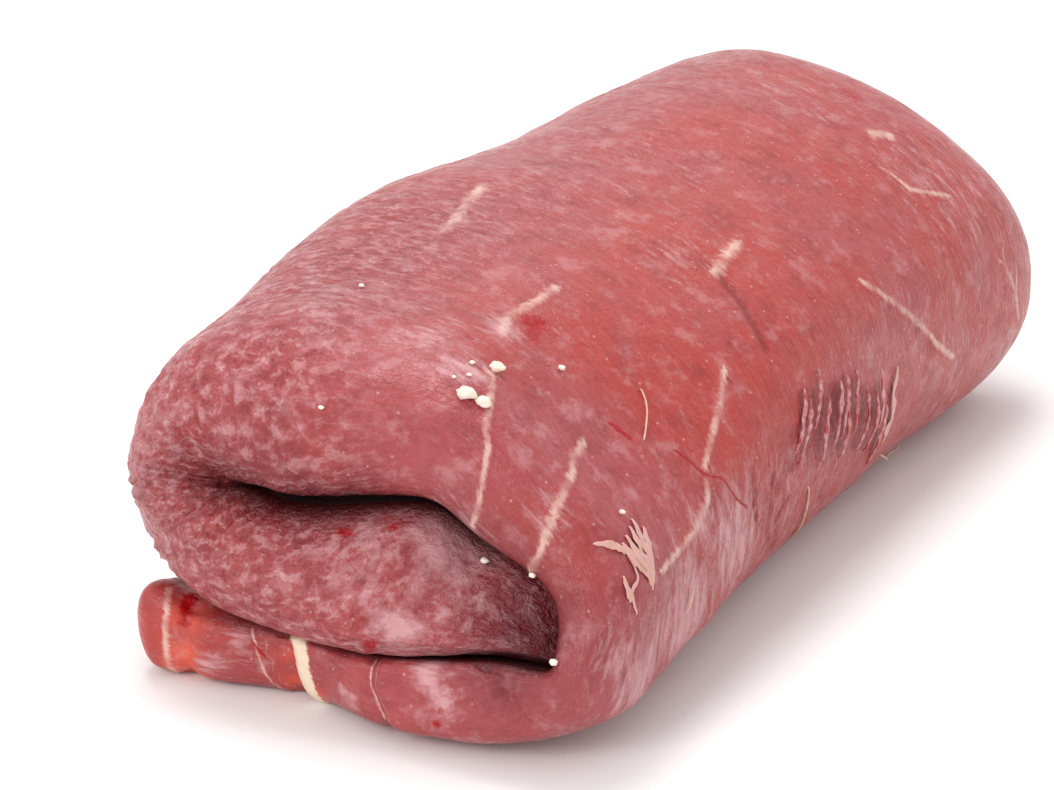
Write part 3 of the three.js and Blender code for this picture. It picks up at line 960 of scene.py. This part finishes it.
def fine_relief(add, pattern, share, veil):
    """Bump for what is finer than the mesh: pebbled film, rougher where the skin is crinkled;
    curds there; fibres; and shreds of veil stood proud."""
    pebbles = add("Math", (share["crinkled"], CRINKLED_PEBBLES, PEBBLE_HEIGHT),
                  operation="MULTIPLY_ADD")
    height = add("Math", (pattern["pebble"], pebbles), operation="MULTIPLY")
    curds = add("Math", (share["crinkled"], CURD_HEIGHT), operation="MULTIPLY")
    for layer, size in ((pattern["curd"], curds), (pattern["grain"], GRAIN_HEIGHT),
                        (veil, VEIL_HEIGHT)):
        height = add("Math", (layer, size, height), operation="MULTIPLY_ADD")
    return add("Bump", {"Height": height, "Distance": 1 * MM, "Strength": 1.0})


def raw_beef_material(colours, share_names):
    """Raw lean beef, moist, partly under thin milky membrane: cool lean with every other colour
    laid over it in turn by its own share. Some of these colours are painted shade: the deep
    purple patches, the dark in gaps, fissures and curd hollows, and the crease colour in the
    slits' mouths.

    The wet film gives broad soft highlights, and small glints where the skin is crinkled. It is
    drier on membrane, wetter on blood, and uneven in 4 mm clouds."""
    material, add, place = new_material("raw_beef")
    pattern = meat_patterns(add, place)
    share = {name: add("Attribute", out="Fac", attribute_name=name) for name in share_names}
    warmth, blotch, grain = lean_shares(add, pattern, share)
    film, pits_and_painted_shade, veil = film_shares(add, pattern, share, warmth)
    line, band = fat_shares(add, pattern, share)
    blood = blood_share(add, pattern, share)
    # Painted shade in the slits' mouths: the crease colour laid over by the crease share.
    deep = add("Math", (share["crease"], PAINTED_CREASE_SHADE), operation="MULTIPLY")
    colour = colours.lean_cool
    # Among these layers, the deep purple patches, the dark laid in gaps, fissures and curd hollows,
    # and the crease colour are painted shade.
    for amount, over in (
            (warmth, colours.lean_warm), (blotch, colours.lean_dark_and_painted_shade), (grain, colours.lean_dark_and_painted_shade),
            (share["orange"], colours.orange), (share["painted_shade"], colours.painted_shade),
            (pits_and_painted_shade, colours.lean_dark_and_painted_shade), (film, colours.veil), (line, colours.fat_thin),
            (band, colours.fat), (painted_gap_shade(add, share), colours.lean_dark_and_painted_shade),
            (blood, colours.blood), (deep, colours.crease)):
        colour = add("Mix", {"Factor": amount, "A": colour, "B": over}, data_type="RGBA")
    rough = add("MapRange", (pattern["patch"], *RAMPS["roughness"]))
    for layer, change in ((veil, 0.1), (blood, -0.15)):
        rough = add("Math", (layer, change, rough), operation="MULTIPLY_ADD")
    normal = fine_relief(add, pattern, share, veil)
    shader = add("BsdfPrincipled", {
        "Base Color": colour, "Roughness": rough, "Normal": normal, "IOR": 1.38,
        "Coat Weight": 0.2, "Coat Roughness": 0.14, "Coat IOR": 1.33,
        "Coat Normal": normal})
    add("OutputMaterial", {"Surface": shader})
    return material


FAT_CLOUD = 1.5  # mm
FAT_GRAIN = 0.4
FAT_BUMP = 0.08
ROUGHNESS_SPREAD = 0.08


def fat_material(name, light, dark, roughness):
    """Hard fat or dry membrane: pale, a little waxy, with cloudy patches of 1.5 mm and a
    grainy surface of 0.4 mm."""
    material, add, place = new_material(name)
    mm = add("VectorMath", {"Vector": place, "Scale": 1 / MM}, operation="SCALE")
    cloud = add("TexNoise", {"Vector": mm, "Scale": 1 / FAT_CLOUD, "Detail": 3.0})
    cloud = add("MapRange", (cloud, 0.35, 0.7))
    colour = add("Mix", {"Factor": cloud, "A": light, "B": dark}, data_type="RGBA")
    grains = add("TexNoise", {"Vector": mm, "Scale": 1 / FAT_GRAIN, "Detail": 2.0})
    rough = add("MapRange", (grains, 0.0, 1.0, roughness - ROUGHNESS_SPREAD,
                             roughness + ROUGHNESS_SPREAD))
    normal = add("Bump", {"Height": grains, "Distance": FAT_BUMP * MM, "Strength": 0.6})
    shader = add("BsdfPrincipled", {
        "Base Color": colour, "Roughness": rough, "Normal": normal, "IOR": 1.44})
    add("OutputMaterial", {"Surface": shader})
    return material


def floor_material():
    """Matt white paper under the steak, with a barely seen unevenness."""
    material, add, place = new_material("white_floor")
    cloud = add("TexNoise", {"Vector": place, "Scale": 8.0, "Detail": 2.0})
    colour = add("Mix", {"Factor": cloud, "A": linear("#f4f3f2"), "B": linear("#f8f7f6")},
                 data_type="RGBA")
    shader = add("BsdfPrincipled", {"Base Color": colour, "Roughness": 0.9})
    add("OutputMaterial", {"Surface": shader})
    return material


# Crumbs of fat: share of the largest radius, and the place.
CRUMBS = (
    (1.0, (2.901, 0.838)), (0.85, (2.962, 0.852)), (0.8, (2.914, 1.003)),
    (0.3, (2.850, 0.965)), (0.25, (2.839, 0.879)), (0.3, (2.873, 0.918)),
    (0.45, (0.005, 0.177)), (0.45, (3.460, 0.262)), (0.4, (3.014, 1.091)),
    (0.35, (3.152, 0.332)), (0.3, (2.248, 1.051)), (0.3, (2.382, 0.659)),
    (0.35, (3.224, 0.986)),
)
CRUMB_ROWS = 12
CRUMB_COLUMNS = 18
CRUMB_STRETCH = (1.15, 0.9, 0.75)
CRUMB_LUMPS = 0.28  # share of the radius by which noise pushes a crumb's surface in and out
CRUMB_HEIGHT = 0.45  # of its middle over the skin, in radii
# Loose fibres on the skin: share of the fibre radius, and the places they pass.
LOOSE_FIBRES = (
    (1.0, ((3.112, 1.170), (3.140, 1.154), (3.171, 1.120))),
    (1.2, ((3.62, 1.42), (3.70, 1.44), (3.76, 1.47))),
    (1.3, ((3.74, 1.70), (3.779, 1.76), (3.80, 1.79), (3.78, 1.80))),
)
# Torn silverskin: half widths in mm along each shred, and the places it passes. Five ribs make
# a fan, wide at its upper edge and gathered at its foot.
FAN_RIB = (0.3, 1.0, 0.85, 0.5, 0.25)
SILVERSKIN = {
    "fan left": (FAN_RIB, ((3.260, 0.896), (3.296, 0.908), (3.344, 0.963), (3.385, 0.988))),
    "fan inner left": (FAN_RIB, ((3.256, 0.938), (3.298, 0.942), (3.348, 0.979),
                                 (3.392, 0.992))),
    "fan middle": (FAN_RIB, ((3.250, 0.985), (3.294, 0.976), (3.344, 0.988), (3.400, 0.996))),
    "fan inner right": (FAN_RIB, ((3.244, 1.008), (3.294, 1.003), (3.346, 1.000),
                                  (3.408, 0.996))),
    "fan right": (FAN_RIB, ((3.270, 1.023), (3.306, 1.013), (3.350, 1.007), (3.394, 1.001))),
    "arm": ((0.2, 0.6, 0.9, 0.8), ((3.217, 0.746), (3.235, 0.796), (3.252, 0.842),
                                   (3.277, 0.892))),
    "left thread": ((0.2, 0.55, 0.6, 0.3), ((3.310, 0.833), (3.333, 0.829), (3.360, 0.838),
                                            (3.383, 0.846))),
    "right thread": ((0.35, 0.3, 0.3, 0.4, 0.3, 0.2),
                     ((3.288, 0.900), (3.323, 0.908), (3.342, 0.904), (3.358, 0.854),
                      (3.396, 0.863), (3.438, 0.887))),
    "side bit": ((0.2, 0.5, 0.2), ((3.530, 1.105), (3.544, 1.097), (3.556, 1.090))),
    "patch border": ((0.3, 0.9, 0.7, 1.0, 0.3), ((3.510, 1.668), (3.560, 1.652), (3.61, 1.658),
                                                 (3.65, 1.660), (3.70, 1.665))),
}
SILVERSKIN_THICKNESS = 0.3
# The patch of pulled fibres: how many, their half widths in mm, and its corners as places.
PULLED_FIBRES = 12
PULLED_HALF_WIDTHS = (0.2, 0.65, 0.75, 0.55, 0.2)
PULLED_THICKNESS = 0.5
PULLED_UPPER = ((3.350, 1.420), (3.515, 1.635))
PULLED_LOWER = ((3.510, 1.372), (3.705, 1.640))
STRAND_SIDES = 12
STRAND_STEPS = 36
STRAND_TEARS = 0.35  # share by which noise widens and narrows a strand
STRAND_RUFFLE = 0.5  # mm


def crumb(radius, place, seed):
    """A lump of fat: a sphere of rows and columns, pushed in and out by noise of its own, set
    into the skin by a third of its radius. Its two poles are single points."""
    rows = np.linspace(0, math.pi, CRUMB_ROWS + 2)[1:-1, None]
    columns = np.linspace(0, 2 * math.pi, CRUMB_COLUMNS, endpoint=False)[None, :]
    ball = np.stack(np.broadcast_arrays(
        np.sin(rows) * np.cos(columns), np.sin(rows) * np.sin(columns), np.cos(rows)), -1)
    ball = np.concatenate([ball.reshape(-1, 3), [[0, 0, 1]], [[0, 0, -1]]])
    swell = 1 + CRUMB_LUMPS * noise(ball * 1.5 + seed * 7.3, seed)
    station, ring = place
    normal = skin_normals([station], [ring])[0]
    centre = skin([station], [ring])[0] + normal * radius * CRUMB_HEIGHT
    return centre + ball * swell[:, None] * CRUMB_STRETCH * radius


def crumb_polygons(start):
    """Corners of a crumb's quads and of the triangles round its poles."""
    quads = ring_quads(CRUMB_ROWS, CRUMB_COLUMNS)[:, ::-1] + start
    column = np.arange(CRUMB_COLUMNS)
    after = (column + 1) % CRUMB_COLUMNS
    top = start + CRUMB_ROWS * CRUMB_COLUMNS
    last = (CRUMB_ROWS - 1) * CRUMB_COLUMNS + start
    upper = np.stack([np.full_like(column, top), start + column, start + after], -1)
    lower = np.stack([np.full_like(column, top + 1), last + after, last + column], -1)
    return quads.tolist() + upper.tolist() + lower.tolist()


def strand(half_widths, places, thickness, seed):
    """A shred or a fibre: flat elliptic rings round a smooth path over places of the skin. It
    stands off the skin in the middle, by its thickness and a ruffle of 2 mm noise, and sinks in
    at both ends. Its edges are torn: noise along it widens and narrows it."""
    t = np.linspace(0, 1, STRAND_STEPS)
    at = t * (len(places) - 1)
    station, ring = (through(values, at) for values in zip(*places))
    torn = 1 + STRAND_TEARS * noise(np.stack([t * 9, 0 * t + seed * 1.7, 0 * t], -1), seed)
    half = (through(half_widths, t * (len(half_widths) - 1)) * torn)[:, None, None]
    path = skin(station, ring)
    normal = skin_normals(station, ring)[:, None]
    forward = np.gradient(path, axis=0)
    side = unit(np.cross(forward, normal[:, 0]))[:, None]
    turn = np.linspace(0, 2 * np.pi, STRAND_SIDES, endpoint=False)[None, :, None]
    flat = path[:, None] + side * np.cos(turn) * half
    arch = np.sin(np.pi * t)[:, None, None] ** 0.5
    ruffle = STRAND_RUFFLE * noise(flat / 2 + seed * 3.1, seed)[..., None] * np.minimum(half, 1)
    raised = thickness * (1.6 * arch - 0.5) + np.maximum(ruffle, -0.3) * arch
    return flat + normal * (raised + np.sin(turn) * thickness / 2)


def strand_polygons(start):
    """Corners of a strand's quads and of its two end caps."""
    quads = ring_quads(STRAND_STEPS, STRAND_SIDES)[:, ::-1] + start
    cap = np.arange(STRAND_SIDES)
    last = start + (STRAND_STEPS - 1) * STRAND_SIDES
    return quads.tolist() + [(start + cap).tolist(), (last + cap[::-1]).tolist()]


def pulled_places(number):
    """The places along one pulled fibre: steps from the patch's upper edge to its lower one,
    with its ends and sides set off a little from those of its neighbours."""
    share = (number + 0.4 * math.sin(5.1 * number)) / (PULLED_FIBRES - 1)
    upper, lower = (mix(np.array(left), np.array(right), share)
                    for left, right in (PULLED_UPPER, PULLED_LOWER))
    offset = 0.22 * math.sin(2.4 * number)
    bend = np.array([0.0, 0.004 * math.sin(1.7 * number)])
    return [mix(upper, lower, t + offset) + bend * math.sin(4 * t) for t in (0.1, 0.35, 0.6, 0.9)]


def make_pieces_in_one(name, lumps, polygons_from, material):
    """Lumps or strands of equal size as one piece: each one's polygons start at its own first
    point."""
    points = np.stack([lump.reshape(-1, 3) for lump in lumps])
    polygons = [polygon for i in range(len(lumps))
                for polygon in polygons_from(i * points.shape[1])]
    make_piece(name, points, polygons, material)


class STEAK_OT_meat(bpy.types.Operator):
    """Make the rolled sheet of meat with its relief and marks"""
    bl_idname = "steak.meat"
    bl_label = "Rolled meat"

    def execute(self, context):
        marks = skin_marks()
        height = relief(context.scene.steak_sizes, marks)
        points = PLAIN_SKIN + PLAIN_NORMALS * height[..., None]
        points[..., 2] = np.maximum(points[..., 2], 0.0)
        rows, columns = STATION.shape
        ends = [np.arange(columns).tolist(),
                (np.arange(columns)[::-1] + (rows - 1) * columns).tolist()]
        polygons = ring_quads(rows, columns)[:, ::-1].tolist() + ends
        material = raw_beef_material(context.scene.meat_colours, marks)
        piece = make_piece("rolled_meat", points, polygons, material)
        add_sheet_map(piece.data, *sheet_lengths())
        for name, values in marks.items():
            add_share(piece.data, name, values)
        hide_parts("flank_steak")
        return {"FINISHED"}


class STEAK_OT_crumbs(bpy.types.Operator):
    """Scatter the loose crumbs of hard fat"""
    bl_idname = "steak.crumbs"
    bl_label = "Crumbs of fat"

    def execute(self, context):
        largest = context.scene.steak_sizes.crumb_radius / MM
        colours = context.scene.meat_colours
        lumps = [crumb(largest * share, place, seed)
                 for seed, (share, place) in enumerate(CRUMBS)]
        material = fat_material("crumb_fat", colours.crumb, colours.fat, 0.45)
        make_pieces_in_one("fat_crumbs", lumps, crumb_polygons, material)
        return {"FINISHED"}


class STEAK_OT_fibres(bpy.types.Operator):
    """Lay the loose fibres that stand off the skin"""
    bl_idname = "steak.fibres"
    bl_label = "Loose fibres"

    def execute(self, context):
        radius = context.scene.steak_sizes.fibre_radius / MM
        colours = context.scene.meat_colours
        strands = [strand((radius * share,) * 2, places, 2 * radius * share, seed)
                   for seed, (share, places) in enumerate(LOOSE_FIBRES)]
        material = fat_material("loose_fibre", colours.silverskin, colours.fat_thin, 0.5)
        make_pieces_in_one("loose_fibres", strands, strand_polygons, material)
        return {"FINISHED"}


class STEAK_OT_pulled(bpy.types.Operator):
    """Lay the patch of pulled fibres on the right side"""
    bl_idname = "steak.pulled"
    bl_label = "Pulled fibres"

    def execute(self, context):
        colours = context.scene.meat_colours
        strands = [strand(PULLED_HALF_WIDTHS, pulled_places(i), PULLED_THICKNESS, i)
                   for i in range(PULLED_FIBRES)]
        material = fat_material("pulled_fibre", colours.lean_warm, colours.veil, 0.36)
        make_pieces_in_one("pulled_fibres", strands, strand_polygons, material)
        return {"FINISHED"}


class STEAK_OT_silverskin(bpy.types.Operator):
    """Lay the torn shreds of silverskin on the right side"""
    bl_idname = "steak.silverskin"
    bl_label = "Torn silverskin"

    def execute(self, context):
        colours = context.scene.meat_colours
        shreds = [strand(half_widths, places, SILVERSKIN_THICKNESS, seed)
                  for seed, (half_widths, places) in enumerate(SILVERSKIN.values())]
        material = fat_material("silverskin", colours.silverskin, colours.veil, 0.42)
        make_pieces_in_one("torn_silverskin", shreds, strand_polygons, material)
        return {"FINISHED"}


# The photograph's view: angles in degrees, the rest in metres.
VIEW_TURN = 30.0
VIEW_TILT = 23.0
VIEW_DISTANCE = 0.624
VIEW_HEIGHT = 0.0306
FOCAL_LENGTH = 102.47
SENSOR_WIDTH = 36.0
FLOOR_HALF = 3.0
WORLD_COLOUR = "#fbfbfc"
WORLD_STRENGTH = 0.92
# The soft lights: place and size in metres, power in watts and colour. Both face one point.
LIGHTS = {
    "key": ((-0.28, 0.28, 1.20), 0.55, 7.9, (1.0, 0.98, 0.96)),
    "front": ((-0.2, -1.1, 0.75), 0.5, 4.8, (1.0, 0.99, 0.98)),
}
LIGHTS_AIM = (0.0, 0.0, 0.03)


def add_light(name, place, size, power, colour):
    """A square soft light at a place, turned to face the steak."""
    light = bpy.data.lights.new(name, "AREA")
    light.size = size
    light.energy = power
    light.color = colour
    lamp = bpy.data.objects.new(name, light)
    lamp.location = place
    lamp.rotation_euler = (Vector(LIGHTS_AIM) - Vector(place)).to_track_quat("-Z", "Y").to_euler()
    bpy.context.scene.collection.objects.link(lamp)


def add_camera():
    """The camera at the photograph's angle, turned round the foot of the roll's own axis."""
    turn, tilt = math.radians(VIEW_TURN), math.radians(VIEW_TILT)
    target = Vector((-ORIGIN[0] * MM, -ORIGIN[1] * MM, VIEW_HEIGHT))
    away = Vector((math.sin(turn) * math.cos(tilt), -math.cos(turn) * math.cos(tilt),
                   math.sin(tilt)))
    camera = bpy.data.objects.new("camera", bpy.data.cameras.new("camera"))
    camera.location = target + away * VIEW_DISTANCE
    camera.rotation_euler = (-away).to_track_quat("-Z", "Y").to_euler()
    camera.data.lens = FOCAL_LENGTH
    camera.data.sensor_width = SENSOR_WIDTH
    camera.data.clip_start = 0.01
    bpy.context.scene.collection.objects.link(camera)
    bpy.context.scene.camera = camera


class STEAK_OT_stage(bpy.types.Operator):
    """Set the white floor, the soft lights and the camera"""
    bl_idname = "steak.stage"
    bl_label = "Floor, lights and camera"

    def execute(self, context):
        corners = np.array([(-1, -1, 0), (1, -1, 0), (1, 1, 0), (-1, 1, 0)]) * FLOOR_HALF
        mesh = bpy.data.meshes.new("floor")
        mesh.from_pydata(corners, [], [(0, 1, 2, 3)])
        mesh.materials.append(floor_material())
        floor = bpy.data.objects.new("floor", mesh)
        context.scene.collection.objects.link(floor)
        world = bpy.data.worlds.new("studio")
        world.use_nodes = True
        background = world.node_tree.nodes["Background"]
        background.inputs["Color"].default_value = linear(WORLD_COLOUR)
        background.inputs["Strength"].default_value = WORLD_STRENGTH
        context.scene.world = world
        context.scene.view_settings.view_transform = "Standard"
        for name, light in LIGHTS.items():
            add_light(name, *light)
        add_camera()
        return {"FINISHED"}


class STEAK_PT_panel(bpy.types.Panel):
    """The steak's sizes, colours and pieces in the sidebar"""
    bl_idname = "STEAK_PT_panel"
    bl_label = "Rolled flank steak"
    bl_space_type = "VIEW_3D"
    bl_region_type = "UI"
    bl_category = "Flank steak"

    def draw(self, context):
        for group in (context.scene.steak_sizes, context.scene.meat_colours):
            box = self.layout.box()
            for name in group.__annotations__:
                box.prop(group, name)
        for operator in OPERATORS:
            self.layout.operator(operator.bl_idname)


OPERATORS = (STEAK_OT_meat, STEAK_OT_crumbs, STEAK_OT_fibres, STEAK_OT_pulled,
             STEAK_OT_silverskin, STEAK_OT_stage)
CLASSES = (SteakSizes, MeatColours, *OPERATORS, STEAK_PT_panel)


def register():
    """Make the operators, the panel and the steak's settings known to Blender."""
    for each in CLASSES:
        bpy.utils.register_class(each)
    bpy.types.Scene.steak_sizes = bpy.props.PointerProperty(type=SteakSizes)
    bpy.types.Scene.meat_colours = bpy.props.PointerProperty(type=MeatColours)


def unregister():
    """Take them out again."""
    del bpy.types.Scene.steak_sizes
    del bpy.types.Scene.meat_colours
    for each in reversed(CLASSES):
        bpy.utils.unregister_class(each)


def main():
    """Make every piece and the stage."""
    register()
    for operator in OPERATORS:
        group, name = operator.bl_idname.split(".")
        getattr(getattr(bpy.ops, group), name)()


if __name__ == "__main__":
    main()
